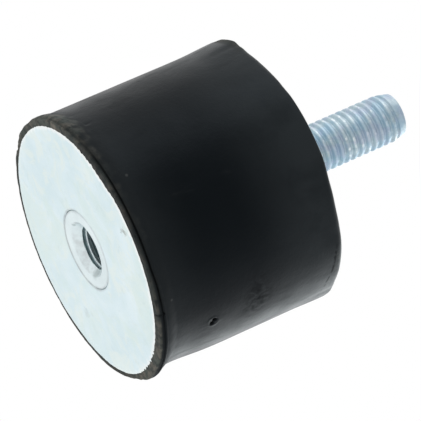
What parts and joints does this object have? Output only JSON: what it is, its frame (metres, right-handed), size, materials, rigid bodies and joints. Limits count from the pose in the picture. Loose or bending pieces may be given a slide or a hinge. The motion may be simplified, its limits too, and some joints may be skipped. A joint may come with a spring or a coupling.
{
  "type": "bobbin vibration mount",
  "caption": "Cylindrical rubber-to-metal vibration mount with a tapped bush in one end plate and a threaded stud on the other.",
  "frame": {"origin": "centre of the tapped plate's outer face, which the mount stands on", "axes": "+Z along the mount's axis, from the tapped end to the stud; X and Y lie in the tapped plate's face"},
  "size_m": [0.0532, 0.0532, 0.0684],
  "materials": {
    "rubber": "satin black moulded natural rubber, rough at the trimmed lips",
    "plated_plate": "pale bluish zinc plating, matt, faintly mottled",
    "plated_bush": "pale bluish zinc plating, turned",
    "plated_stud": "bluish zinc plating on a rolled thread"
  },
  "bodies": {
    "root": {"rubber_body": "rubber", "female_plate": "plated_plate", "threaded_bush": "plated_bush", "male_plate": "plated_plate", "threaded_stud": "plated_stud"}
  },
  "joints": []
}
